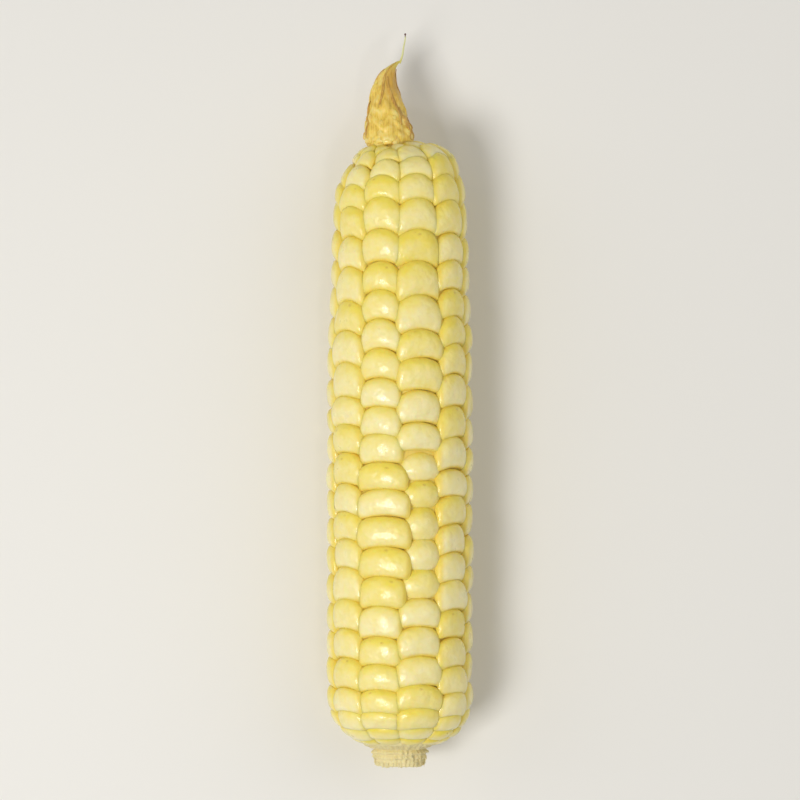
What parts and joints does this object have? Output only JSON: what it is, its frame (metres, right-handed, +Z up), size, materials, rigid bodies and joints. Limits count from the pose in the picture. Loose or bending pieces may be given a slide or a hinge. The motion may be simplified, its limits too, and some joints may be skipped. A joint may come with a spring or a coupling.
{
  "type": "corn cob",
  "caption": "Small husked ear of waxy corn with blunt rows of pale yellow kernels, a withered tan tip ending in a silk strand, and a short stalk stub, lying on its side.",
  "frame": {"origin": "on the surface that the ear lies on, under the middle of the object's box", "axes": "+Z up from the surface, +Y along the ear from the butt towards its tip"},
  "size_m": [0.0316, 0.1554, 0.0308],
  "materials": {
    "kernels": "satin",
    "dry_tip": "matte",
    "stalk": "matte"
  },
  "bodies": {
    "root": {"ear": "kernels", "shank_stub": "stalk", "silk_strand": "dry_tip"}
  },
  "joints": []
}
